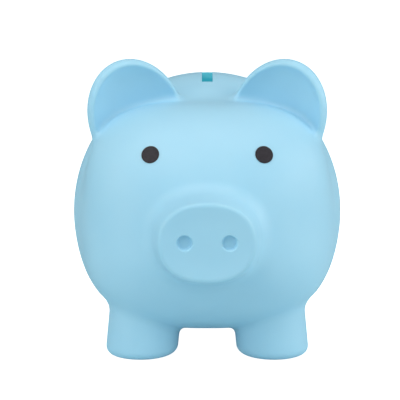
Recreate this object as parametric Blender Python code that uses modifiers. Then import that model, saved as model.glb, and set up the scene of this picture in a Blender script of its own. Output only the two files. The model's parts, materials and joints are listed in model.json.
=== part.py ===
"""Piggy bank: a hollow soft-vinyl pig with a coin slot, printed eyes and a pull-out stopper.

The ground is z = 0, +Z is up and the pig looks along -Y. The bank is centred on the Z axis.
Dimensions below are in millimetres; MM turns them into Blender's metres.
"""

import math

import bmesh
import bpy
from mathutils import Matrix, Vector

MM = 0.001
GAP = 0.3
WALL = 2.4

# A lobe is an egg: its centre, its reach (half width, forward, back, up, down, and forward
# near its top) and its powers (roundness of its upper half, lower half, front and back).
BODY_CENTRE = (0.0, 8.8, 50.9)
BODY_REACH = (53.6, 57.0, 50.5, 55.0, 45.6, 37.0)
BODY_POWERS = (2.04, 2.6, 2.2, 2.6)
HEAD_CENTRE = (0.0, -22.2, 50.9)
HEAD_REACH = (47.0, 32.0, 31.0, 46.5, 39.9, 32.0)
HEAD_POWERS = (3.4, 2.8, 2.12, 2.12)

SNOUT_CENTRE = (0.0, -49.2, 52.9)
SNOUT_HALF_SIZE = (18.0, 15.4)
SNOUT_POWER = 2.25
SNOUT_LENGTH = 28.5
SNOUT_FORWARD = 14.5
SNOUT_TAPER = 0.42
SNOUT_DROOP = 0.16
SNOUT_TILT = math.radians(6.0)
SNOUT_FILLET = 1.6
SNOUT_DISH = 0.6
NOSTRIL_RADIUS = 2.7
NOSTRIL_DEPTH = 1.4
NOSTRIL_OFFSET = (8.1, 0.0)

LEG_RADIUS = 14.0
LEG_FILLET = 3.2
LEG_HEIGHT = 34.0
LEG_LEAN = 0.1
LEG_SIDE = 25.6
LEG_FRONT_Y = -22.7
LEG_BACK_Y = 29.8

EAR_CENTRE = (26.9, -17.6, 90.9)
EAR_RADII = (18.9, 8.0, 24.4)
EAR_YAW = math.radians(20.0)
EAR_ROLL = math.radians(26.0)
EAR_PITCH = math.radians(8.0)
SCOOP_RADII = (18.4, 8.0, 23.9)
SCOOP_FORWARD = 5.6

TAIL_START = (0.0, 54.5, 66.9)
TAIL_COIL_RADIUS = 4.0
TAIL_THICKNESS = 2.2
TAIL_TURNS = 1.15
TAIL_LENGTH = 8.8

SLOT_SIZE = (4.3, 27.0)
SLOT_Y = 10.2
SLOT_BOTTOM = 92.0
SLOT_TOP = 112.0

EYE_X = 20.8
EYE_Z = 81.1
EYE_RADIUS = 3.3
EYE_THICKNESS = 0.4

STOPPER_Y = 8.8
SEAT_RADIUS = 16.5
SEAT_Z = 8.9
HOLE_RADIUS = 13.2
PAD_RADIUS = 19.5
PAD_TOP = 11.3
FLANGE_RADIUS = 16.2
FLANGE_THICKNESS = 2.0
NECK_RADIUS = 12.4
BEAD_RADIUS = 12.9
STOPPER_TOP = 14.9
RECESS_RADIUS = 10.4
RECESS_TOP = 13.1
GRIP_WIDTH = 3.0
GRIP_BOTTOM = 7.4

VINYL_BLUE = (0.392, 0.708, 0.896, 1.0)
EYE_GREY = (0.045, 0.038, 0.045, 1.0)
STOPPER_WHITE = (0.74, 0.79, 0.80, 1.0)


def clear_scene():
    for obj in list(bpy.data.objects):
        bpy.data.objects.remove(obj)


def new_collection(name):
    collection = bpy.data.collections.new(name)
    bpy.context.scene.collection.children.link(collection)
    return collection


def new_material(name, colour, roughness):
    material = bpy.data.materials.new(name)
    material.use_nodes = True
    shader = material.node_tree.nodes["Principled BSDF"]
    shader.inputs["Base Color"].default_value = colour
    shader.inputs["Roughness"].default_value = roughness
    shader.inputs["Metallic"].default_value = 0.0
    material.diffuse_color = colour
    return material


def new_object(name, shape, collection):
    """Turn a bmesh in millimetres into an object in metres with outward faces."""
    bmesh.ops.recalc_face_normals(shape, faces=shape.faces[:])
    bmesh.ops.scale(shape, vec=(MM, MM, MM), verts=shape.verts[:])
    mesh = bpy.data.meshes.new(name)
    shape.to_mesh(mesh)
    shape.free()
    obj = bpy.data.objects.new(name, mesh)
    collection.objects.link(obj)
    return obj


def boolean(target, tool, operation):
    modifier = target.modifiers.new(f"{operation.lower()}_{tool.name}", "BOOLEAN")
    modifier.operation = operation
    modifier.solver = "EXACT"
    modifier.object = tool


def lobe_point(direction, centre, reach, powers, inset):
    """Where the ray along direction leaves the lobe, which is shrunk by inset."""
    x, y, z = direction
    upper, lower, ahead_power, behind_power = powers
    below = min(1.0, max(0.0, -1.6 * z))
    power = upper + (lower - upper) * below
    across = (abs(x) ** power + abs(z) ** power) ** (1.0 / power)
    along = ahead_power if y < 0.0 else behind_power
    scale = (across**along + abs(y) ** along) ** (-1.0 / along)
    width, front, back, up, down, front_at_top = (size - inset for size in reach)
    rise = max(0.0, z) / Vector(direction).length
    front += (front_at_top - front) * rise * rise * (3.0 - 2.0 * rise)
    length = front if y < 0.0 else back
    height = up if z > 0.0 else down
    return Vector(centre) + scale * Vector((width * x, length * y, height * z))


def lobe(name, centre, reach, powers, inset, segments, rings, collection):
    shape = bmesh.new()
    poles_front_and_back = Matrix.Rotation(math.pi / 2.0, 4, "X")
    bmesh.ops.create_uvsphere(
        shape, u_segments=segments, v_segments=rings, radius=1.0, matrix=poles_front_and_back
    )
    for vertex in shape.verts:
        vertex.co = lobe_point(vertex.co, centre, reach, powers, inset)
    return new_object(name, shape, collection)


def ellipsoid(name, radii, placement, segments, rings, collection):
    shape = bmesh.new()
    matrix = placement @ Matrix.Diagonal((*radii, 1.0))
    bmesh.ops.create_uvsphere(
        shape, u_segments=segments, v_segments=rings, radius=1.0, matrix=matrix
    )
    return new_object(name, shape, collection)


def cylinder(name, radius, bottom, top, placement, segments, collection):
    shape = bmesh.new()
    middle = Matrix.Translation((0.0, 0.0, (bottom + top) / 2.0))
    bmesh.ops.create_cone(
        shape, cap_ends=True, segments=segments, radius1=radius, radius2=radius,
        depth=top - bottom, matrix=placement @ middle,
    )
    return new_object(name, shape, collection)


def box(name, size, centre, collection):
    shape = bmesh.new()
    matrix = Matrix.Translation(centre) @ Matrix.Diagonal((*size, 1.0))
    bmesh.ops.create_cube(shape, size=1.0, matrix=matrix)
    return new_object(name, shape, collection)


def turned(name, profile, steps, collection):
    """A profile of (radius, height) pairs, from the top of the axis down, turned about +Z."""
    shape = bmesh.new()
    points = [shape.verts.new((radius, 0.0, height)) for radius, height in profile]
    for start, end in zip(points, points[1:]):
        shape.edges.new((start, end))
    obj = new_object(name, shape, collection)
    screw = obj.modifiers.new("turn", "SCREW")
    screw.steps = steps
    screw.render_steps = steps
    screw.use_merge_vertices = True
    screw.merge_threshold = 0.00001
    return obj


def baked(name, source, matrix, collection):
    """A plain mesh of source's evaluated shape, moved by matrix, in place of source."""
    graph = bpy.context.evaluated_depsgraph_get()
    mesh = bpy.data.meshes.new_from_object(source.evaluated_get(graph))
    mesh.transform(matrix @ source.matrix_world)
    shape = bmesh.new()
    shape.from_mesh(mesh)
    bmesh.ops.remove_doubles(shape, verts=shape.verts[:], dist=0.00001)
    bmesh.ops.recalc_face_normals(shape, faces=shape.faces[:])
    shape.to_mesh(mesh)
    shape.free()
    obj = bpy.data.objects.new(name, mesh)
    collection.objects.link(obj)
    bpy.data.objects.remove(source)
    return obj


def arc(radius, height, bend, start, end, count):
    """Points of a circular fillet of radius bend, centred at (radius, height)."""
    angles = [start + (end - start) * step / count for step in range(count + 1)]
    return [(radius + bend * math.cos(a), height + bend * math.sin(a)) for a in angles]


def rounded_outline(half_width, half_height, power, inset, count):
    """A superellipse in X and Z, drawn in by inset along its own radius."""
    outline = []
    for step in range(count):
        angle = 2.0 * math.pi * step / count
        c, s = math.cos(angle), math.sin(angle)
        scale = (abs(c) ** power + abs(s) ** power) ** (-1.0 / power)
        point = Vector((half_width * c * scale, 0.0, half_height * s * scale))
        outline.append(point - inset * point.normalized())
    return outline


def loft(name, sections, placement, collection):
    """Join closed sections of equal length into one skin and cap both ends."""
    shape = bmesh.new()
    rows = [[shape.verts.new(placement @ point) for point in section] for section in sections]
    count = len(rows[0])
    for row, following in zip(rows, rows[1:]):
        for i in range(count):
            j = (i + 1) % count
            shape.faces.new((row[i], row[j], following[j], following[i]))
    shape.faces.new(rows[0])
    shape.faces.new(rows[-1])
    return new_object(name, shape, collection)


def snout_placement():
    return Matrix.Translation(SNOUT_CENTRE) @ Matrix.Rotation(SNOUT_TILT, 4, "X")


def snout_section(depth, growth, inset, count):
    """One outline of the barrel; its root hangs lower than its face."""
    width, height = SNOUT_HALF_SIZE
    outline = rounded_outline(width * growth, height * growth, SNOUT_POWER, inset, count)
    back = SNOUT_LENGTH - depth
    return [point + Vector((0.0, back - SNOUT_FORWARD, -SNOUT_DROOP * back)) for point in outline]


def make_snout(collection):
    """A flaring round-cornered barrel with a filleted rim and a slightly dished face."""
    count = 44
    barrel = SNOUT_LENGTH - SNOUT_FILLET
    sections = []
    for step in range(5):
        depth = barrel * step / 4.0
        growth = 1.0 + SNOUT_TAPER * (barrel - depth) / SNOUT_LENGTH
        sections.append(snout_section(depth, growth, 0.0, count))
    for step in range(1, 5):
        angle = math.pi / 2.0 * step / 4.0
        depth = barrel + SNOUT_FILLET * math.sin(angle)
        inset = SNOUT_FILLET * (1.0 - math.cos(angle))
        sections.append(snout_section(depth, 1.0, inset, count))
    for share in (0.5, 1.0):
        inset = SNOUT_FILLET + 8.8 * share
        sections.append(snout_section(SNOUT_LENGTH - SNOUT_DISH * share, 1.0, inset, count))
    return loft("snout_form", sections, snout_placement(), collection)


def make_snout_hollow(collection):
    count = 28
    front = SNOUT_LENGTH - WALL - NOSTRIL_DEPTH - SNOUT_DISH
    sections = []
    for depth, growth, inset in ((3.0, 1.25, WALL), (16.0, 1.1, WALL), (front, 1.0, WALL + 2.0)):
        sections.append(snout_section(depth, growth, inset, count))
    return loft("snout_hollow", sections, snout_placement(), collection)


def leg_placement(side, y):
    """Stands a leg on the ground, sheared so that it leans in with its sole still flat."""
    lean = Matrix.Identity(4)
    lean[0][2] = -side * LEG_LEAN
    return Matrix.Translation((side * LEG_SIDE * MM, y * MM, 0.0)) @ lean


def make_leg(name, side, y, collection):
    fillet = LEG_FILLET
    corner = arc(LEG_RADIUS - fillet, fillet, fillet, 0.0, -math.pi / 2.0, 4)
    profile = [(0.0, LEG_HEIGHT), (LEG_RADIUS, LEG_HEIGHT), *corner, (0.0, 0.0)]
    upright = turned(f"{name}_upright", profile, 28, collection)
    return baked(name, upright, leg_placement(side, y), collection)


def make_leg_hollow(name, side, y, collection):
    radius = LEG_RADIUS - WALL
    bend = 2.4
    corner = arc(radius - bend, WALL + bend, bend, 0.0, -math.pi / 2.0, 2)
    profile = [(0.0, LEG_HEIGHT), (radius, LEG_HEIGHT), *corner, (0.0, WALL)]
    upright = turned(f"{name}_upright", profile, 20, collection)
    return baked(name, upright, leg_placement(side, y), collection)


def make_ear(name, side, collection, cutters):
    """A thick leaf that leans outwards, hollowed at the front into a shallow dish."""
    turn = Matrix.Rotation(-side * EAR_YAW, 4, "Z") @ Matrix.Rotation(side * EAR_ROLL, 4, "Y")
    turn = turn @ Matrix.Rotation(EAR_PITCH, 4, "X")
    x, y, z = EAR_CENTRE
    placement = Matrix.Translation((side * x, y, z)) @ turn
    ear = ellipsoid(name, EAR_RADII, placement, 28, 14, collection)
    ahead = placement @ Matrix.Translation((0.0, -SCOOP_FORWARD, 0.0))
    scoop = ellipsoid(f"{name}_scoop", SCOOP_RADII, ahead, 28, 14, cutters)
    boolean(ear, scoop, "DIFFERENCE")
    return ear


def make_tail(collection):
    """A short curl: a coil that comes straight out of the rump and fades to a blunt tip."""
    curve = bpy.data.curves.new("tail_form", "CURVE")
    curve.dimensions = "3D"
    curve.bevel_depth = TAIL_THICKNESS * MM
    curve.bevel_resolution = 2
    curve.use_fill_caps = True
    count = 20
    spline = curve.splines.new("POLY")
    spline.points.add(count)
    for step, point in enumerate(spline.points):
        share = step / count
        angle = -math.pi / 2.0 + 2.0 * math.pi * TAIL_TURNS * share
        x = TAIL_START[0] + TAIL_COIL_RADIUS * math.cos(angle)
        z = TAIL_START[2] + TAIL_COIL_RADIUS * math.sin(angle)
        y = TAIL_START[1] + TAIL_LENGTH * share
        point.co = (x * MM, y * MM, z * MM, 1.0)
        point.radius = 1.0 - 0.25 * share
    rod = bpy.data.objects.new("tail_rod", curve)
    collection.objects.link(rod)
    return baked("tail_form", rod, Matrix.Identity(4), collection)


def face_y(x, z):
    """The forehead's surface above the head's middle, at this width and height."""
    width, front, _, up, _, _ = HEAD_REACH
    power, _, lengthwise, _ = HEAD_POWERS
    across = abs(x / width) ** power + abs((z - HEAD_CENTRE[2]) / up) ** power
    return HEAD_CENTRE[1] - front * (1.0 - across ** (lengthwise / power)) ** (1.0 / lengthwise)


def eye_placement(side):
    """Local +Z points out of the forehead at the eye's centre."""
    x = side * EYE_X
    step = 0.01
    slope_x = (face_y(x + step, EYE_Z) - face_y(x - step, EYE_Z)) / (2.0 * step)
    slope_z = (face_y(x, EYE_Z + step) - face_y(x, EYE_Z - step)) / (2.0 * step)
    outward = Vector((slope_x, -1.0, slope_z)).normalized()
    turn = outward.to_track_quat("Z", "Y").to_matrix().to_4x4()
    return Matrix.Translation((x, face_y(x, EYE_Z), EYE_Z)) @ turn


def forehead(name, inset, cutters):
    return lobe(name, HEAD_CENTRE, HEAD_REACH, HEAD_POWERS, inset, 96, 56, cutters)


def make_eye(name, side, collection, cutters):
    """A thin printed disc that follows the forehead and lies flush in its seat."""
    print_disc = cylinder(name, EYE_RADIUS, -4.0, 4.0, eye_placement(side), 40, collection)
    boolean(print_disc, cutters.objects["forehead_outside"], "INTERSECT")
    boolean(print_disc, cutters.objects["forehead_under_print"], "DIFFERENCE")
    return print_disc


def make_eye_seat(name, side, cutters):
    seat = cylinder(name, EYE_RADIUS + GAP, -4.0, 4.0, eye_placement(side), 40, cutters)
    boolean(seat, cutters.objects["forehead_under_seat"], "DIFFERENCE")
    return seat


def make_cavity(cutters):
    """The coin chamber: body and head hollowed to one wall, open into legs and snout."""
    chamber = lobe("chamber", BODY_CENTRE, BODY_REACH, BODY_POWERS, WALL, 32, 18, cutters)
    head = lobe("head_hollow", HEAD_CENTRE, HEAD_REACH, HEAD_POWERS, WALL, 32, 18, cutters)
    boolean(chamber, head, "UNION")
    boolean(chamber, make_snout_hollow(cutters), "UNION")
    for label, side, y in leg_places():
        boolean(chamber, make_leg_hollow(f"leg_hollow_{label}", side, y, cutters), "UNION")
    centre = Matrix.Translation((0.0, STOPPER_Y, 0.0))
    pad = cylinder("stopper_pad", PAD_RADIUS, 0.0, PAD_TOP, centre, 40, cutters)
    boolean(chamber, pad, "DIFFERENCE")
    return chamber


def leg_places():
    return (
        ("front_left", 1.0, LEG_FRONT_Y),
        ("front_right", -1.0, LEG_FRONT_Y),
        ("back_left", 1.0, LEG_BACK_Y),
        ("back_right", -1.0, LEG_BACK_Y),
    )


def add_body_forms(shell, cutters):
    head = lobe("head_form", HEAD_CENTRE, HEAD_REACH, HEAD_POWERS, 0.0, 44, 24, cutters)
    boolean(shell, head, "UNION")
    boolean(shell, make_snout(cutters), "UNION")
    for label, side, y in leg_places():
        boolean(shell, make_leg(f"leg_{label}", side, y, cutters), "UNION")
    boolean(shell, make_ear("ear_left", 1.0, cutters, cutters), "UNION")
    boolean(shell, make_ear("ear_right", -1.0, cutters, cutters), "UNION")
    boolean(shell, make_tail(cutters), "UNION")


def cut_nostrils(shell, cutters):
    root = snout_placement() @ Matrix.Translation((0.0, -SNOUT_FORWARD, 0.0))
    for label, side in (("left", 1.0), ("right", -1.0)):
        out, up = NOSTRIL_OFFSET
        place = root @ Matrix.Translation((side * out, 0.0, up))
        place = place @ Matrix.Rotation(math.pi / 2.0, 4, "X")
        depth = -NOSTRIL_DEPTH - SNOUT_DISH / 2.0
        tool = cylinder(f"nostril_{label}", NOSTRIL_RADIUS, depth, 3.0, place, 24, cutters)
        boolean(shell, tool, "DIFFERENCE")


def cut_openings(shell, cutters):
    height = SLOT_TOP - SLOT_BOTTOM
    middle = (0.0, SLOT_Y, (SLOT_TOP + SLOT_BOTTOM) / 2.0)
    boolean(shell, box("coin_slot", (*SLOT_SIZE, height), middle, cutters), "DIFFERENCE")
    centre = Matrix.Translation((0.0, STOPPER_Y, 0.0))
    seat = cylinder("stopper_seat", SEAT_RADIUS, -2.0, SEAT_Z, centre, 48, cutters)
    boolean(shell, seat, "DIFFERENCE")
    hole = cylinder("stopper_hole", HOLE_RADIUS, -2.0, PAD_TOP + 4.0, centre, 48, cutters)
    boolean(shell, hole, "DIFFERENCE")


def make_body_shell(collection, cutters):
    shell = lobe("body_shell", BODY_CENTRE, BODY_REACH, BODY_POWERS, 0.0, 44, 26, collection)
    add_body_forms(shell, cutters)
    boolean(shell, make_cavity(cutters), "DIFFERENCE")
    cut_nostrils(shell, cutters)
    cut_openings(shell, cutters)
    boolean(shell, make_eye_seat("eye_seat_left", 1.0, cutters), "DIFFERENCE")
    boolean(shell, make_eye_seat("eye_seat_right", -1.0, cutters), "DIFFERENCE")
    return shell


def stopper_profile():
    flange_top = SEAT_Z - GAP
    flange_bottom = flange_top - FLANGE_THICKNESS
    rim = FLANGE_THICKNESS / 2.0
    bead_low = PAD_TOP + 0.4
    profile = [(0.0, STOPPER_TOP), (NECK_RADIUS - 1.6, STOPPER_TOP)]
    profile += [(BEAD_RADIUS - 0.2, bead_low + 1.4), (BEAD_RADIUS, bead_low + 0.9)]
    profile += [(NECK_RADIUS, bead_low), (NECK_RADIUS, flange_top)]
    middle = (flange_top + flange_bottom) / 2.0
    profile += arc(FLANGE_RADIUS - rim, middle, rim, math.pi / 2.0, -math.pi / 2.0, 4)
    profile += [(RECESS_RADIUS, flange_bottom), (RECESS_RADIUS, RECESS_TOP - 1.0)]
    profile += [(RECESS_RADIUS - 1.0, RECESS_TOP), (0.0, RECESS_TOP)]
    return profile


def make_stopper(collection, cutters):
    """A flanged cup pushed up into the belly hole, with a grip bar across its recess."""
    stopper = turned("belly_stopper", stopper_profile(), 40, collection)
    stopper.location = (0.0, STOPPER_Y * MM, 0.0)
    top = RECESS_TOP + 0.6
    size = (GRIP_WIDTH, 2.0 * RECESS_RADIUS + 1.0, top - GRIP_BOTTOM)
    middle = (0.0, STOPPER_Y, (top + GRIP_BOTTOM) / 2.0)
    boolean(stopper, box("grip_bar", size, middle, cutters), "UNION")
    return stopper


def finish(obj, colour, roughness):
    obj.data.materials.clear()
    obj.data.materials.append(new_material(obj.name, colour, roughness))
    obj.data.shade_smooth()


def build():
    clear_scene()
    parts = new_collection("piggy_bank")
    cutters = new_collection("piggy_bank_cutters")
    forehead("forehead_outside", 0.0, cutters)
    forehead("forehead_under_print", EYE_THICKNESS, cutters)
    forehead("forehead_under_seat", EYE_THICKNESS + GAP, cutters)
    finish(make_body_shell(parts, cutters), VINYL_BLUE, 0.45)
    finish(make_eye("eye_print_left", 1.0, parts, cutters), EYE_GREY, 0.5)
    finish(make_eye("eye_print_right", -1.0, parts, cutters), EYE_GREY, 0.5)
    finish(make_stopper(parts, cutters), STOPPER_WHITE, 0.4)
    for obj in cutters.objects:
        obj.hide_render = True
        obj.display_type = "WIRE"


build()
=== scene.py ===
import json
import math

import bmesh
import bpy
import numpy as np
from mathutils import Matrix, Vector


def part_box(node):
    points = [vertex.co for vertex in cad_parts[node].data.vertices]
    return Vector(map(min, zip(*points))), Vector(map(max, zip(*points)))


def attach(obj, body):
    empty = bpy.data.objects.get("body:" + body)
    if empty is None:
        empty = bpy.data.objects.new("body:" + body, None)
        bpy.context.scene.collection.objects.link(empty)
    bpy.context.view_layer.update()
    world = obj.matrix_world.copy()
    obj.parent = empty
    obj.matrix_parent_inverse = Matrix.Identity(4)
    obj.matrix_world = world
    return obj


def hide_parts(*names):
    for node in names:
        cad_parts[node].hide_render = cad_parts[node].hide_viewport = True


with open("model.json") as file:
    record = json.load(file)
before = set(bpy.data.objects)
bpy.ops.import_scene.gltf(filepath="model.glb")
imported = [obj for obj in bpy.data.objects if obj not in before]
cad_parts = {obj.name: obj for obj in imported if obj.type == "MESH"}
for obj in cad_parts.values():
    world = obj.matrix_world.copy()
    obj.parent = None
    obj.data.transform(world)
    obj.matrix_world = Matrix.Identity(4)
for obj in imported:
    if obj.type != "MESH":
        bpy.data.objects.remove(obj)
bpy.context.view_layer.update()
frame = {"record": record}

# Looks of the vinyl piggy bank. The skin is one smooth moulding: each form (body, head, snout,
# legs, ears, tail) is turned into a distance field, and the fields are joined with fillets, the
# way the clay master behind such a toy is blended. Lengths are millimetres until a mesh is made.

import openvdb as vdb
from mathutils import Matrix, Vector
from mathutils.bvhtree import BVHTree

M = 0.001


def in_mm(corner):
    return Vector(corner) / M


SHELL_LOW, SHELL_HIGH = map(in_mm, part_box("body_shell"))
STOPPER_LOW, STOPPER_HIGH = map(in_mm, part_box("belly_stopper"))
SOLES = {m["name"]: in_mm(m["pos_m"]) for m in frame["record"]["mounts"]}
SLOT_BOX = next(
    [in_mm(c) for c in o["box_m"]]
    for o in frame["record"]["physics"]["openings"]
    if o["name"] == "coin_slot"
)

# Forms. A lobe's reach is half width, forward, back, up, down, and forward near its top; its
# powers are the roundness of its upper half, lower half, front and back.
BODY_CENTRE = (0.0, 8.8, 50.9)
BODY_REACH = (SHELL_HIGH.x, 57.0, 50.5, 55.0, 45.6, 37.0)
BODY_POWERS = (2.04, 2.6, 2.2, 2.6)
HEAD_CENTRE = (0.0, -22.2, 50.9)
HEAD_REACH = (47.0, 32.0, 31.0, 46.5, 39.9, 32.0)
HEAD_POWERS = (3.4, 2.8, 2.12, 2.12)
SNOUT_CENTRE = (0.0, -49.2, 52.9)
SNOUT_HALF_SIZE = (18.0, 15.4)
SNOUT_POWER = 2.25
SNOUT_LENGTH = 28.5
SNOUT_FORWARD = 14.5
SNOUT_TAPER = 0.42
SNOUT_DROOP = 0.16
SNOUT_TILT = math.radians(6.0)
SNOUT_FILLET = 1.6
SNOUT_DISH = 0.6
SNOUT_DISH_REACH = 8.8
FACE_DEPTH = 2.0
NOSTRIL_OFFSET = (8.1, 0.0)
NOSTRIL_RADIUS = 2.65
NOSTRIL_LIP = 0.8
NOSTRIL_DEPTH = 1.7
EYE_RADIUS = 3.3
INK_THICKNESS = 0.05
INK_EDGE_DEPTH = 0.25
INK_START = 4.0
LEG_RADIUS = 14.0
LEG_FILLET = 3.2
LEG_HEIGHT = 34.0
LEG_LEAN = 0.10
EAR_CENTRE = (26.9, -17.6, 90.9)
EAR_REACH = (18.9, 8.0, 8.0, 24.4, 24.4)
EAR_YAW, EAR_ROLL, EAR_PITCH = math.radians(20.0), math.radians(26.0), math.radians(8.0)
SCOOP_REACH = (18.4, 8.0, 8.0, 23.9, 23.9)
SCOOP_FORWARD = 5.6
TAIL_START = (0.0, 54.5, 66.9)
TAIL_COIL_RADIUS = 4.0
TAIL_THICKNESS = 2.2
TAIL_TURNS = 1.15
TAIL_LENGTH = 8.8
TAIL_TIP_START = 0.86
TAIL_THINNING = 0.25

# Fillets where two forms meet.
HEAD_BLEND = 6.0
SNOUT_BLEND = 4.0
LEG_BLEND = 2.6
EAR_BLEND = 3.0
EAR_RIM_ROUND = 0.9
TAIL_BLEND = 2.0

WALL = 2.4
SLOT_WIDTH = 4.3
SLOT_SPARE = 0.5
SLOT_CUT_HEIGHT = 24.0
SLOT_CUT_DROP = 4.0
INSIDE_DEPTH = 2.0
SEAT_RADIUS = 16.5
SEAT_Z = 8.9
HOLE_RADIUS = 13.2
PAD_RADIUS = 19.5
PAD_TOP = 11.3

# The stopper's parts, measured in from its flange's edge and from its two ends.
FLANGE_THICKNESS = 2.0
NECK_INSET = 3.8
BEAD_INSET = 3.3
RECESS_INSET = 5.8
CUP_ROOF = 1.8
BAR_WIDTH = 3.0
BAR_RAISE = 0.8
BAR_ROUND = 0.9

VOXEL = 0.6
BAND = 9.0
SKIN_TRIANGLES = 150_000
CUT_ANGLE = math.radians(40.0)
RIM_ANGLE = math.radians(14.0)
GRAIN_SCALE = 1500.0


# ---------------------------------------------------------------- forms as closed meshes


def egg(centre, reach, powers, inset=0.0, segments=160, rings=80):
    """A lobe like the CAD's: a sphere pushed out to its reach, with squarer or rounder ends."""
    width, front, back, up, down, front_at_top = (size - inset for size in reach)
    upper, lower, ahead_power, behind_power = powers
    form = bmesh.new()
    bmesh.ops.create_uvsphere(form, u_segments=segments, v_segments=rings, radius=1.0)
    for vertex in form.verts:
        x, y, z = vertex.co
        power = upper + (lower - upper) * min(1.0, max(0.0, -1.6 * z))
        across = (abs(x) ** power + abs(z) ** power) ** (1.0 / power)
        along = ahead_power if y < 0.0 else behind_power
        scale = (across**along + abs(y) ** along) ** (-1.0 / along)
        rise = max(0.0, z)
        ahead = front + (front_at_top - front) * rise * rise * (3.0 - 2.0 * rise)
        point = Vector((width * x, (ahead if y < 0.0 else back) * y, (up if z > 0.0 else down) * z))
        vertex.co = Vector(centre) + scale * point
    return form


def leaf(reach, placement, power=2.0, segments=96, rings=48):
    """An ellipsoid with its own front and back thickness, placed by a matrix."""
    across, front, back, up, down = reach
    form = bmesh.new()
    bmesh.ops.create_uvsphere(form, u_segments=segments, v_segments=rings, radius=1.0)
    for vertex in form.verts:
        x, y, z = vertex.co
        flat = math.hypot(x, z)
        scale = (flat**power + abs(y) ** power) ** (-1.0 / power)
        point = Vector((across * x, (front if y < 0.0 else back) * y, (up if z > 0.0 else down) * z))
        vertex.co = placement @ (scale * point)
    return form


def loft(sections):
    """Closed sections of equal length joined into one skin, with a fan on each end."""
    form = bmesh.new()
    rows = [[form.verts.new(point) for point in section] for section in sections]
    count = len(rows[0])
    for row, after in zip(rows, rows[1:]):
        for i in range(count):
            j = (i + 1) % count
            form.faces.new((row[i], row[j], after[j], after[i]))
    for row in (rows[0], rows[-1]):
        middle = form.verts.new(sum((vertex.co for vertex in row), Vector()) / count)
        for i in range(count):
            form.faces.new((row[i], row[(i + 1) % count], middle))
    return form


def turned(profile, steps):
    """A closed solid of revolution from (radius, height) pairs that start and end on the axis."""
    form = bmesh.new()
    points = [form.verts.new((radius, 0.0, height)) for radius, height in profile]
    edges = [form.edges.new(pair) for pair in zip(points, points[1:])]
    bmesh.ops.spin(
        form, geom=points + edges, axis=(0.0, 0.0, 1.0), cent=(0.0, 0.0, 0.0),
        angle=2.0 * math.pi, steps=steps,
    )
    bmesh.ops.remove_doubles(form, verts=form.verts[:], dist=0.0001)
    return form


def arc(radius, height, bend, start, end, count):
    angles = [start + (end - start) * step / count for step in range(count + 1)]
    return [(radius + bend * math.cos(a), height + bend * math.sin(a)) for a in angles]


def outline(half_width, half_height, power, inset, count):
    points = []
    for step in range(count):
        angle = 2.0 * math.pi * step / count
        c, s = math.cos(angle), math.sin(angle)
        scale = (abs(c) ** power + abs(s) ** power) ** (-1.0 / power)
        point = Vector((half_width * c * scale, 0.0, half_height * s * scale))
        points.append(point - inset * point.normalized())
    return points


def snout_place():
    return Matrix.Translation(SNOUT_CENTRE) @ Matrix.Rotation(SNOUT_TILT, 4, "X")


def snout_section(depth, growth, inset, count):
    width, height = SNOUT_HALF_SIZE
    place = snout_place()
    back = SNOUT_LENGTH - depth
    root = Vector((0.0, back - SNOUT_FORWARD, -SNOUT_DROOP * back))
    points = outline(width * growth, height * growth, SNOUT_POWER, inset, count)
    return [place @ (point + root) for point in points]


def snout_form():
    """A flaring barrel with a filleted rim and a slightly dished face."""
    count = 120
    barrel = SNOUT_LENGTH - SNOUT_FILLET
    sections = []
    for step in range(12):
        depth = barrel * step / 11.0
        growth = 1.0 + SNOUT_TAPER * (barrel - depth) / SNOUT_LENGTH
        sections.append(snout_section(depth, growth, 0.0, count))
    for step in range(1, 10):
        angle = math.pi / 2.0 * step / 9.0
        depth = barrel + SNOUT_FILLET * math.sin(angle)
        sections.append(snout_section(depth, 1.0, SNOUT_FILLET * (1.0 - math.cos(angle)), count))
    for step in range(1, 6):
        share = step / 5.0
        depth = SNOUT_LENGTH - SNOUT_DISH * math.sin(math.pi / 2.0 * share)
        sections.append(snout_section(depth, 1.0, SNOUT_FILLET + SNOUT_DISH_REACH * share, count))
    return loft(sections)


def leg_form(sole, radius, bottom, bend):
    profile = [(0.0, LEG_HEIGHT)]
    profile += [(radius, LEG_HEIGHT * (1.0 - step / 10.0)) for step in range(9)]
    profile += arc(radius - bend, bottom + bend, bend, 0.0, -math.pi / 2.0, 9)
    profile += [(radius / 2.0, bottom), (0.0, bottom)]
    form = turned(profile, 96)
    lean = Matrix.Identity(4)
    lean[0][2] = -math.copysign(LEG_LEAN, sole.x)
    bmesh.ops.transform(form, matrix=Matrix.Translation((sole.x, sole.y, 0.0)) @ lean, verts=form.verts)
    return form


def ear_place(side):
    turn = Matrix.Rotation(-side * EAR_YAW, 4, "Z") @ Matrix.Rotation(side * EAR_ROLL, 4, "Y")
    x, y, z = EAR_CENTRE
    return Matrix.Translation((side * x, y, z)) @ turn @ Matrix.Rotation(EAR_PITCH, 4, "X")


def tail_form():
    """The curl as a tube that thins towards its rounded tip."""
    count, sides = 56, 24
    path, radii = [], []
    for step in range(count + 1):
        share = step / count
        angle = -math.pi / 2.0 + 2.0 * math.pi * TAIL_TURNS * share
        x = TAIL_START[0] + TAIL_COIL_RADIUS * math.cos(angle)
        z = TAIL_START[2] + TAIL_COIL_RADIUS * math.sin(angle)
        path.append(Vector((x, TAIL_START[1] + TAIL_LENGTH * share, z)))
        tip = max(0.0, (share - TAIL_TIP_START) / (1.0 - TAIL_TIP_START))
        radii.append(TAIL_THICKNESS * (1.0 - TAIL_THINNING * share) * math.sqrt(max(0.02, 1.0 - tip * tip)))
    sections = []
    for i, point in enumerate(path):
        along = (path[min(i + 1, count)] - path[max(i - 1, 0)]).normalized()
        across = along.cross(Vector((0.0, 1.0, 0.0))).normalized()
        up = across.cross(along)
        angles = [2.0 * math.pi * k / sides for k in range(sides)]
        sections.append([point + radii[i] * (math.cos(a) * across + math.sin(a) * up) for a in angles])
    return loft(sections)


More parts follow.
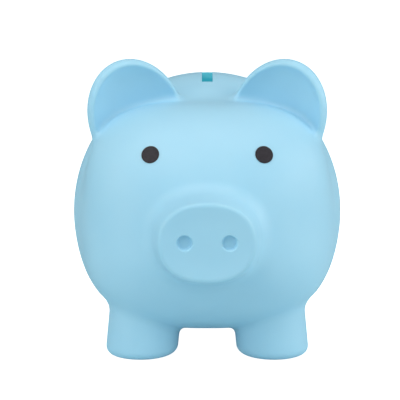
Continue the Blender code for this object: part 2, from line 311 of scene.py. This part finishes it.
# ---------------------------------------------------------------- distance fields


def blend_min(a, b, reach):
    """Union of two fields with a fillet about reach wide."""
    near = np.maximum(reach - np.abs(a - b), 0.0) / reach
    return np.minimum(a, b) - near * near * (reach * 0.25)


def blend_max(a, b, reach):
    return -blend_min(-a, -b, reach)


class Field:
    """A block of space in which each closed form becomes an array of signed distances."""

    def __init__(self, low, high, voxel):
        self.voxel = voxel
        self.first = np.floor(np.array(low) / voxel).astype(int)
        self.shape = tuple(np.ceil(np.array(high) / voxel).astype(int) - self.first + 1)
        self.corner = tuple(int(value) for value in self.first)

    def of(self, form):
        bmesh.ops.recalc_face_normals(form, faces=form.faces[:])
        bmesh.ops.triangulate(form, faces=form.faces[:])
        points = np.array([vertex.co for vertex in form.verts], np.float32)
        form.verts.index_update()
        corners = np.array([[v.index for v in face.verts] for face in form.faces], np.uint32)
        form.free()
        grid = vdb.FloatGrid.createLevelSetFromPolygons(
            points, triangles=corners, transform=vdb.createLinearTransform(voxelSize=self.voxel),
            halfWidth=BAND / self.voxel,
        )
        values = np.full(self.shape, BAND, np.float32)
        grid.copyToArray(values, ijk=self.corner)
        return values

    def at(self, values, points):
        """Distances at points, read between the voxels."""
        place = points / self.voxel - self.first
        cell = np.clip(np.floor(place).astype(int), 0, np.array(self.shape) - 2)
        part = place - cell
        total = np.zeros(len(points))
        for i in (0, 1):
            for j in (0, 1):
                for k in (0, 1):
                    x = part[:, 0] if i else 1.0 - part[:, 0]
                    y = part[:, 1] if j else 1.0 - part[:, 1]
                    z = part[:, 2] if k else 1.0 - part[:, 2]
                    corner = values[cell[:, 0] + i, cell[:, 1] + j, cell[:, 2] + k]
                    total += x * y * z * corner
        return total

    def slope(self, values, points):
        step = 0.5 * self.voxel
        parts = []
        for axis in range(3):
            shift = np.zeros(3)
            shift[axis] = step
            parts.append(self.at(values, points + shift) - self.at(values, points - shift))
        slope = np.stack(parts, 1)
        return slope / np.maximum(np.linalg.norm(slope, axis=1), 1e-6)[:, None]

    def skin(self, values, rounds=3):
        """The zero surface as (points, quads), evened out and drawn back onto the surface."""
        grid = vdb.FloatGrid(BAND)
        grid.copyFromArray(values, ijk=self.corner)
        grid.transform = vdb.createLinearTransform(voxelSize=self.voxel)
        points, quads = grid.convertToQuads(0.0)
        points, quads = points.astype(float), quads.astype(np.int64)[:, ::-1]
        ends = np.concatenate([quads[:, (0, 1)], quads[:, (1, 2)], quads[:, (2, 3)], quads[:, (3, 0)]])
        for _ in range(rounds):
            total = np.zeros_like(points)
            for axis in range(3):
                total[:, axis] = np.bincount(ends[:, 0], points[ends[:, 1], axis], len(points))
            count = np.bincount(ends[:, 0], minlength=len(points))
            points += 0.5 * (total / np.maximum(count, 1)[:, None] - points)
            points -= self.slope(values, points) * self.at(values, points)[:, None]
        return points, quads


# ---------------------------------------------------------------- meshes and cuts


def add_mesh(name, points, faces):
    mesh = bpy.data.meshes.new(name)
    mesh.from_pydata((np.asarray(points) * M).tolist(), [], [tuple(face) for face in faces])
    mesh.update()
    piece = bpy.data.objects.new(name, mesh)
    bpy.context.scene.collection.objects.link(piece)
    return piece


def add_form(name, form):
    bmesh.ops.recalc_face_normals(form, faces=form.faces[:])
    bmesh.ops.scale(form, vec=(M, M, M), verts=form.verts[:])
    mesh = bpy.data.meshes.new(name)
    form.to_mesh(mesh)
    form.free()
    piece = bpy.data.objects.new(name, mesh)
    bpy.context.scene.collection.objects.link(piece)
    return piece


def settle(piece):
    """Replace a piece's mesh with its evaluated one and drop its modifiers."""
    graph = bpy.context.evaluated_depsgraph_get()
    mesh = bpy.data.meshes.new_from_object(piece.evaluated_get(graph), depsgraph=graph)
    piece.modifiers.clear()
    piece.data = mesh
    return piece


def cut(piece, tools, operation="DIFFERENCE"):
    for tool in tools:
        modifier = piece.modifiers.new(tool.name, "BOOLEAN")
        modifier.operation = operation
        modifier.solver = "MANIFOLD"
        modifier.object = tool
    settle(piece)
    for tool in tools:
        bpy.data.objects.remove(tool)


def disc(name, radius, bottom, top, centre, steps=128):
    form = bmesh.new()
    place = Matrix.Translation((centre.x, centre.y, (bottom + top) / 2.0))
    bmesh.ops.create_cone(
        form, cap_ends=True, segments=steps, radius1=radius, radius2=radius,
        depth=top - bottom, matrix=place,
    )
    return add_form(name, form)


# ---------------------------------------------------------------- the moulded skin


def outer_skin():
    margin = Vector((3.0, 3.0, 3.0))
    field = Field(SHELL_LOW - margin, SHELL_HIGH + margin, VOXEL)
    body = field.of(egg(BODY_CENTRE, BODY_REACH, BODY_POWERS))
    head = field.of(egg(HEAD_CENTRE, HEAD_REACH, HEAD_POWERS))
    skin = blend_min(body, head, HEAD_BLEND)
    skin = blend_min(skin, field.of(snout_form()), SNOUT_BLEND)
    for sole in SOLES.values():
        skin = blend_min(skin, field.of(leg_form(sole, LEG_RADIUS, 0.0, LEG_FILLET)), LEG_BLEND)
    for side in (-1.0, 1.0):
        place = ear_place(side)
        ahead = place @ Matrix.Translation((0.0, -SCOOP_FORWARD, 0.0))
        solid, scoop = field.of(leaf(EAR_REACH, place)), field.of(leaf(SCOOP_REACH, ahead))
        skin = blend_min(skin, blend_max(solid, -scoop, EAR_RIM_ROUND), EAR_BLEND)
    skin = blend_min(skin, field.of(tail_form()), TAIL_BLEND)
    return field.skin(skin)


def chamber():
    """The hollow for coins, one wall inside the skin, flat around the stopper's hole."""
    margin = Vector((1.0, 1.0, 1.0))
    field = Field(SHELL_LOW - margin, SHELL_HIGH + margin, 2.0)
    hollow = blend_min(
        field.of(egg(BODY_CENTRE, BODY_REACH, BODY_POWERS, WALL)),
        field.of(egg(HEAD_CENTRE, HEAD_REACH, HEAD_POWERS, WALL)),
        HEAD_BLEND,
    )
    for sole in SOLES.values():
        inner = field.of(leg_form(sole, LEG_RADIUS - WALL, WALL, LEG_FILLET))
        hollow = blend_min(hollow, inner, LEG_BLEND)
    points, quads = field.skin(hollow, 2)
    return add_mesh("chamber", points, quads)


def nostril(side):
    """A shallow round recess with a rounded floor and a softened lip."""
    out, up = NOSTRIL_OFFSET
    radius, lip, depth = NOSTRIL_RADIUS, NOSTRIL_LIP, NOSTRIL_DEPTH
    quarter = math.pi / 2.0
    profile = [(0.0, -depth), (radius * 0.5, -depth)]
    profile += arc(radius - 0.6, 0.6 - depth, 0.6, -quarter, 0.0, 6)
    profile += arc(radius + lip, -lip, lip, 2.0 * quarter, 1.25 * quarter, 6)
    profile += [(radius + lip, 1.5), (0.0, 1.5)]
    form = turned(profile, 64)
    forward = Matrix.Rotation(quarter, 4, "X")
    face = SNOUT_DISH - SNOUT_FORWARD
    place = snout_place() @ Matrix.Translation((side * out, face, up)) @ forward
    bmesh.ops.transform(form, matrix=place, verts=form.verts)
    return add_form("nostril", form)


def make_skin():
    points, quads = outer_skin()
    skin = add_mesh("vinyl_skin", points, quads)
    thin_out(skin, points, SKIN_TRIANGLES / (2.0 * len(quads)))
    tree = BVHTree.FromObject(skin, bpy.context.evaluated_depsgraph_get())
    centre = (STOPPER_LOW + STOPPER_HIGH) / 2.0
    hollow = chamber()
    cut(hollow, [disc("pad", PAD_RADIUS, -5.0, PAD_TOP, centre)])
    slot = bmesh.new()
    low, high = SLOT_BOX
    middle = (low + high) / 2.0
    size = (SLOT_WIDTH, high.y - low.y + 2.0 * SLOT_SPARE, SLOT_CUT_HEIGHT, 1.0)
    place = Matrix.Translation((0.0, middle.y, high.z - SLOT_CUT_DROP)) @ Matrix.Diagonal(size)
    bmesh.ops.create_cube(slot, size=1.0, matrix=place)
    seat = disc("seat", SEAT_RADIUS, -5.0, SEAT_Z, centre)
    hole = disc("hole", HOLE_RADIUS, -5.0, PAD_TOP + 4.0, centre)
    cut(skin, [hollow, add_form("slot", slot), seat, hole, nostril(-1.0), nostril(1.0)])
    smooth(skin, crisp_limit)
    mark_inside(skin, tree)
    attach(skin, "bank")
    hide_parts("body_shell")
    return skin, tree


def thin_out(skin, points, ratio):
    """Fewer triangles where the skin is calm, and every one kept on the snout's face."""
    across = np.array(snout_place().inverted())
    depths = points @ across[1, :3] + across[1, 3]
    away = np.flatnonzero(depths > FACE_DEPTH - SNOUT_FORWARD)
    skin.vertex_groups.new(name="away_from_face").add(away.tolist(), 1.0, "REPLACE")
    thin = skin.modifiers.new("thin", "DECIMATE")
    thin.ratio = ratio
    thin.vertex_group = "away_from_face"
    settle(skin)


def mark_inside(skin, tree):
    """Faces well under the outer surface take the second material, with its painted shade and painted glow;
    seat and nostrils keep the first.
    """
    snout_y = SNOUT_CENTRE[1] - SNOUT_FORWARD + NOSTRIL_DEPTH + WALL / 2.0
    for face in skin.data.polygons:
        middle = face.center / M
        if under_belly(middle) or middle.y < snout_y:
            continue
        _, _, _, depth = tree.find_nearest(face.center)
        if depth > INSIDE_DEPTH * M:
            face.material_index = 1


def crisp_limit(point):
    """The angle above which an edge stays crisp: low at the nostrils' rims, high off the cuts."""
    if in_slot(point) or under_belly(point):
        return CUT_ANGLE
    return RIM_ANGLE if in_nostril(point) else math.pi


def in_nostril(point):
    across, deep, up = snout_place().inverted() @ point
    reach = NOSTRIL_RADIUS + NOSTRIL_LIP + 0.2
    return deep < SNOUT_DISH + NOSTRIL_DEPTH - SNOUT_FORWARD + 0.2 and math.hypot(
        abs(across) - NOSTRIL_OFFSET[0], up - NOSTRIL_OFFSET[1]
    ) < reach


def in_slot(point):
    low, high = SLOT_BOX
    return abs(point.x) < SLOT_WIDTH / 2.0 + 0.1 and low.y - 1.0 < point.y < high.y + 1.0 and point.z > 90.0


def under_belly(point):
    centre = (STOPPER_LOW + STOPPER_HIGH) / 2.0
    return math.hypot(point.x - centre.x, point.y - centre.y) < PAD_RADIUS and point.z < PAD_TOP + 0.5


def smooth(piece, limit):
    """Smooth shading with crisp edges; limit gives the angle from which an edge is crisp."""
    form = bmesh.new()
    form.from_mesh(piece.data)
    for face in form.faces:
        face.smooth = True
    for edge in form.edges:
        angle = edge.calc_face_angle(0.0)
        crisp = angle > RIM_ANGLE and angle > limit((edge.verts[0].co + edge.verts[1].co) / (2.0 * M))
        edge.smooth = not crisp
    form.to_mesh(piece.data)
    form.free()


# ---------------------------------------------------------------- printed eyes


def make_eye(name, tree):
    """Ink laid on the forehead: a disc that follows the skin, with its edge sunk into it."""
    low, high = map(in_mm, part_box(name))
    centre = (low + high) / 2.0
    spot, normal, _, _ = tree.find_nearest(centre * M)
    turn = normal.to_track_quat("Z", "Y")
    rings, steps = 14, 72
    rows = []
    for ring in range(rings + 1):
        share = min(1.0, ring / (rings - 1.0))
        lift = (INK_THICKNESS if ring < rings else -INK_EDGE_DEPTH) * M
        row = []
        for step in range(steps):
            angle = 2.0 * math.pi * step / steps
            flat = Vector((math.cos(angle), math.sin(angle), 0.0)) * (EYE_RADIUS * share * M)
            start = spot + turn @ flat + normal * (INK_START * M)
            hit, hit_normal, _, _ = tree.ray_cast(start, -normal)
            row.append((hit + hit_normal * lift) / M)
        rows.append(row)
    form = bmesh.new()
    grid = [[form.verts.new(point) for point in row] for row in rows[1:]]
    top = form.verts.new(rows[0][0])
    for i in range(steps):
        j = (i + 1) % steps
        form.faces.new((top, grid[0][i], grid[0][j]))
        for inner, outer in zip(grid, grid[1:]):
            form.faces.new((inner[i], outer[i], outer[j], inner[j]))
    form.faces.new(list(reversed(grid[-1])))
    eye = add_form(f"{name}_ink", form)
    smooth(eye, lambda point: CUT_ANGLE)
    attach(eye, "bank")
    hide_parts(name)
    return eye


# ---------------------------------------------------------------- belly stopper


def make_stopper():
    """A flanged cup of natural soft plastic with a moulded grip bar across its recess."""
    low, high = STOPPER_LOW, STOPPER_HIGH
    centre = (low + high) / 2.0
    flange = (high.x - low.x) / 2.0
    bottom, top = low.z, high.z
    flange_top = bottom + FLANGE_THICKNESS
    neck, bead, recess = flange - NECK_INSET, flange - BEAD_INSET, flange - RECESS_INSET
    ceiling = top - CUP_ROOF
    half_pi = math.pi / 2.0
    profile = [(0.0, top), (neck * 0.5, top)]
    profile += arc(neck - 1.6, top - 1.0, 1.0, half_pi, half_pi * 0.35, 5)
    profile += [(bead - 0.25, top - 1.9)]
    profile += arc(bead - 0.5, top - 2.35, 0.5, half_pi * 0.5, -half_pi * 0.6, 6)
    profile += [(neck, top - 3.4), (neck, flange_top + 0.4), (neck + 0.4, flange_top)]
    profile += arc(flange - 0.9, flange_top - 0.9, 0.9, half_pi, 0.0, 7)
    profile += arc(flange - 0.9, bottom + 0.9, 0.9, 0.0, -half_pi, 7)
    profile += arc(recess + 0.6, bottom + 0.6, 0.6, -half_pi, -math.pi, 5)
    profile += [(recess - 0.15, (bottom + ceiling) / 2.0)]
    profile += arc(recess - 1.2, ceiling - 1.0, 1.0, 0.0, half_pi, 5)
    profile += [(recess * 0.5, ceiling), (0.0, ceiling)]
    cup = add_form("stopper_cup", turned(profile, 128))
    bar = bmesh.new()
    size = (BAR_WIDTH, 2.0 * recess + 1.0, ceiling + 0.6 - bottom - BAR_RAISE)
    middle = bottom + BAR_RAISE + size[2] / 2.0
    place = Matrix.Translation((0.0, 0.0, middle)) @ Matrix.Diagonal((*size, 1.0))
    bmesh.ops.create_cube(bar, size=1.0, matrix=place)
    lower = [
        edge for edge in bar.edges
        if all(vertex.co.z < bottom + 1.0 for vertex in edge.verts)
        and abs(edge.verts[0].co.y - edge.verts[1].co.y) > 1.0
    ]
    bmesh.ops.bevel(bar, geom=lower, offset=BAR_ROUND, segments=5, profile=0.5, affect="EDGES")
    cut(cup, [add_form("stopper_bar", bar)], "UNION")
    cup.name = "soft_stopper"
    cup.location = (centre.x * M, centre.y * M, 0.0)
    smooth(cup, lambda point: CUT_ANGLE)
    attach(cup, "stopper")
    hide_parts("belly_stopper")
    return cup


# ---------------------------------------------------------------- materials


def new_material(name):
    material = bpy.data.materials.new(name)
    material.use_nodes = True
    return material, material.node_tree, material.node_tree.nodes["Principled BSDF"]


def add_noise(tree, scale, detail, roughness=0.5):
    place = tree.nodes.new("ShaderNodeTexCoord")
    noise = tree.nodes.new("ShaderNodeTexNoise")
    noise.inputs["Scale"].default_value = scale
    noise.inputs["Detail"].default_value = detail
    noise.inputs["Roughness"].default_value = roughness
    tree.links.new(place.outputs["Object"], noise.inputs["Vector"])
    return noise.outputs["Fac"]


def remap(tree, value, low, high, from_low=0.3, from_high=0.7):
    node = tree.nodes.new("ShaderNodeMapRange")
    node.inputs["From Min"].default_value = from_low
    node.inputs["From Max"].default_value = from_high
    node.inputs["To Min"].default_value = low
    node.inputs["To Max"].default_value = high
    tree.links.new(value, node.inputs["Value"])
    return node.outputs["Result"]


def mix_colours(tree, factor, first, second):
    node = tree.nodes.new("ShaderNodeMix")
    node.data_type = "RGBA"
    node.inputs[6].default_value = (*first, 1.0)
    node.inputs[7].default_value = (*second, 1.0)
    tree.links.new(factor, node.inputs[0])
    return node.outputs[2]


def add_bump(tree, heights, shader):
    """Bumps in a chain; each is (height socket, strength, depth in metres)."""
    normal = None
    for height, strength, depth in heights:
        bump = tree.nodes.new("ShaderNodeBump")
        bump.inputs["Strength"].default_value = strength
        bump.inputs["Distance"].default_value = depth
        tree.links.new(height, bump.inputs["Height"])
        if normal is not None:
            tree.links.new(normal, bump.inputs["Normal"])
        normal = bump.outputs["Normal"]
    tree.links.new(normal, shader.inputs["Normal"])


def vinyl_material():
    """Semi-matte soft vinyl: faint mottling in colour and sheen, fine spark-eroded mould grain."""
    material, tree, shader = new_material("soft_blue_vinyl")
    clouds = add_noise(tree, 45.0, 3.0)
    colour = mix_colours(tree, remap(tree, clouds, 0.0, 1.0), (0.381, 0.685, 0.86), (0.405, 0.706, 0.872))
    tree.links.new(colour, shader.inputs["Base Color"])
    tree.links.new(remap(tree, add_noise(tree, 160.0, 4.0), 0.44, 0.52), shader.inputs["Roughness"])
    shader.inputs["Subsurface Weight"].default_value = 0.12
    shader.inputs["Subsurface Radius"].default_value = (0.5, 0.9, 1.0)
    shader.inputs["Subsurface Scale"].default_value = 0.003
    shader.inputs["Specular IOR Level"].default_value = 0.4
    grain = add_noise(tree, GRAIN_SCALE, 2.0)
    ripple = add_noise(tree, 110.0, 2.0)
    add_bump(tree, [(ripple, 0.12, 0.0003), (grain, 0.12, 0.00006)], shader)
    return material


def inside_shade_and_glow_material():
    """The same vinyl from within, painted a darker teal as shade, with a painted teal glow that stands in
    for daylight coming through the wall.
    """
    material, tree, shader = new_material("vinyl_inside_painted_shade_and_glow")
    clouds = add_noise(tree, 60.0, 3.0)
    # painted shade: a darker teal than the outer vinyl, for the dim inside of the hollow
    colour = mix_colours(tree, remap(tree, clouds, 0.0, 1.0), (0.10, 0.46, 0.58), (0.13, 0.50, 0.62))
    tree.links.new(colour, shader.inputs["Base Color"])
    tree.links.new(remap(tree, add_noise(tree, 200.0, 3.0), 0.5, 0.6), shader.inputs["Roughness"])
    # painted glow: a faint teal emission stands in for daylight coming through the wall
    shader.inputs["Emission Color"].default_value = (0.14, 0.98, 1.04, 1.0)
    shader.inputs["Emission Strength"].default_value = 0.175
    add_bump(tree, [(add_noise(tree, GRAIN_SCALE, 2.0), 0.12, 0.00006)], shader)
    return material


def ink_material():
    """Matte pad-printed ink, thin enough for the vinyl's grain to show through."""
    material, tree, shader = new_material("dark_grey_ink")
    speckle = add_noise(tree, 900.0, 3.0)
    colour = mix_colours(tree, remap(tree, speckle, 0.0, 1.0), (0.026, 0.022, 0.027), (0.036, 0.031, 0.037))
    tree.links.new(colour, shader.inputs["Base Color"])
    tree.links.new(remap(tree, add_noise(tree, 500.0, 2.0), 0.46, 0.56), shader.inputs["Roughness"])
    shader.inputs["Specular IOR Level"].default_value = 0.2
    add_bump(tree, [(add_noise(tree, GRAIN_SCALE, 2.0), 0.15, 0.00005)], shader)
    return material


def stopper_material():
    """Natural milky plastic: slightly see-through, with soft flow marks."""
    material, tree, shader = new_material("natural_soft_plastic")
    flow = add_noise(tree, 70.0, 3.0)
    colour = mix_colours(tree, remap(tree, flow, 0.0, 1.0), (0.70, 0.76, 0.78), (0.78, 0.82, 0.83))
    tree.links.new(colour, shader.inputs["Base Color"])
    tree.links.new(remap(tree, add_noise(tree, 220.0, 3.0), 0.34, 0.44), shader.inputs["Roughness"])
    shader.inputs["Subsurface Weight"].default_value = 0.35
    shader.inputs["Subsurface Radius"].default_value = (1.0, 1.0, 1.0)
    shader.inputs["Subsurface Scale"].default_value = 0.003
    add_bump(tree, [(add_noise(tree, 900.0, 2.0), 0.1, 0.00005)], shader)
    return material


def floor_material():
    """A white studio sweep that photographs as paper white and throws little light back."""
    material, tree, shader = new_material("studio_white")
    shader.inputs["Base Color"].default_value = (0.9, 0.9, 0.9, 1.0)
    shader.inputs["Roughness"].default_value = 0.9
    output = tree.nodes["Material Output"]
    glow = tree.nodes.new("ShaderNodeEmission")
    glow.inputs["Strength"].default_value = 1.0
    both = tree.nodes.new("ShaderNodeAddShader")
    dim = tree.nodes.new("ShaderNodeBsdfDiffuse")
    dim.inputs["Color"].default_value = (0.62, 0.75, 0.78, 1.0)
    path = tree.nodes.new("ShaderNodeLightPath")
    pick = tree.nodes.new("ShaderNodeMixShader")
    tree.links.new(shader.outputs["BSDF"], both.inputs[0])
    tree.links.new(glow.outputs["Emission"], both.inputs[1])
    tree.links.new(path.outputs["Is Camera Ray"], pick.inputs["Fac"])
    tree.links.new(dim.outputs["BSDF"], pick.inputs[1])
    tree.links.new(both.outputs["Shader"], pick.inputs[2])
    tree.links.new(pick.outputs["Shader"], output.inputs["Surface"])
    return material


def paint(piece, *materials):
    """Put the materials in the mesh's slots; its faces keep their slot numbers."""
    numbers = [face.material_index for face in piece.data.polygons]
    piece.data.materials.clear()
    for material in materials:
        piece.data.materials.append(material)
    last = len(materials) - 1
    piece.data.polygons.foreach_set("material_index", [min(number, last) for number in numbers])


# ---------------------------------------------------------------- studio


TARGET = Vector((0.0, 0.0, 0.056))
CAMERA_DISTANCE = 0.6
CAMERA_ELEVATION = math.radians(10.0)
FOCAL_LENGTH = 135.5
SHIFT = (-0.018, 0.001)

# Lamps as azimuth from the front (towards +X), elevation, power and colour: a product tent lit
# from both sides and from above, so the ears shade the back, with a cooler ambient light.
LAMPS = (
    ("left_front", -30.0, 45.0, 2.75, (1.05, 1.0, 0.96)),
    ("left_low", -60.0, 8.0, 2.5, (1.04, 1.0, 0.98)),
    ("right_low", 90.0, 8.0, 2.4, (1.06, 1.0, 0.98)),
    ("right_middle", 60.0, 20.0, 2.85, (1.06, 1.0, 0.97)),
    ("top", 0.0, 70.0, 2.4, (1.1, 1.0, 0.98)),
)
LAMP_DISTANCE = 1.0
LAMP_SIZE = 0.6
FLOOR_RADIUS = 12.0
FLOOR_GAP = 0.0002
SKY = 0.31
SKY_COLOUR = (0.78, 1.0, 1.05, 1.0)


def make_floor():
    form = bmesh.new()
    bmesh.ops.create_circle(form, cap_ends=True, segments=96, radius=FLOOR_RADIUS)
    mesh = bpy.data.meshes.new("studio_floor")
    form.to_mesh(mesh)
    form.free()
    floor = bpy.data.objects.new("studio_floor", mesh)
    floor.location.z = -FLOOR_GAP
    bpy.context.scene.collection.objects.link(floor)
    paint(floor, floor_material())


def aim(obj, place, target):
    obj.location = place
    obj.rotation_mode = "QUATERNION"
    obj.rotation_quaternion = (target - place).to_track_quat("-Z", "Y")


def direction(azimuth, elevation):
    return Vector((
        math.sin(azimuth) * math.cos(elevation),
        -math.cos(azimuth) * math.cos(elevation),
        math.sin(elevation),
    ))


def make_lamps():
    for name, azimuth, elevation, power, colour in LAMPS:
        data = bpy.data.lights.new(name, "AREA")
        data.size = LAMP_SIZE
        data.energy = power
        data.color = colour
        lamp = bpy.data.objects.new(name, data)
        bpy.context.scene.collection.objects.link(lamp)
        away = direction(math.radians(azimuth), math.radians(elevation))
        aim(lamp, TARGET + away * LAMP_DISTANCE, TARGET)


def make_sky():
    """Soft cool light from all around, seen as plain white by the camera."""
    world = bpy.data.worlds.new("studio")
    bpy.context.scene.world = world
    world.use_nodes = True
    tree = world.node_tree
    ambient = tree.nodes["Background"]
    ambient.inputs["Color"].default_value = SKY_COLOUR
    ambient.inputs["Strength"].default_value = SKY
    backdrop = tree.nodes.new("ShaderNodeBackground")
    backdrop.inputs["Color"].default_value = (1.0, 1.0, 1.0, 1.0)
    path = tree.nodes.new("ShaderNodeLightPath")
    pick = tree.nodes.new("ShaderNodeMixShader")
    tree.links.new(path.outputs["Is Camera Ray"], pick.inputs["Fac"])
    tree.links.new(ambient.outputs["Background"], pick.inputs[1])
    tree.links.new(backdrop.outputs["Background"], pick.inputs[2])
    tree.links.new(pick.outputs["Shader"], tree.nodes["World Output"].inputs["Surface"])


def make_camera():
    data = bpy.data.cameras.new("camera")
    data.sensor_width = 36.0
    data.lens = FOCAL_LENGTH
    data.shift_x, data.shift_y = SHIFT
    camera = bpy.data.objects.new("camera", data)
    bpy.context.scene.collection.objects.link(camera)
    away = direction(0.0, CAMERA_ELEVATION)
    aim(camera, TARGET + away * CAMERA_DISTANCE, TARGET)
    bpy.context.scene.camera = camera


def build():
    skin, tree = make_skin()
    paint(skin, vinyl_material(), inside_shade_and_glow_material())
    ink = ink_material()
    for name in ("eye_print_left", "eye_print_right"):
        paint(make_eye(name, tree), ink)
    paint(make_stopper(), stopper_material())
    make_floor()
    make_lamps()
    make_sky()
    make_camera()
    bpy.context.scene.view_settings.view_transform = "Standard"


build()
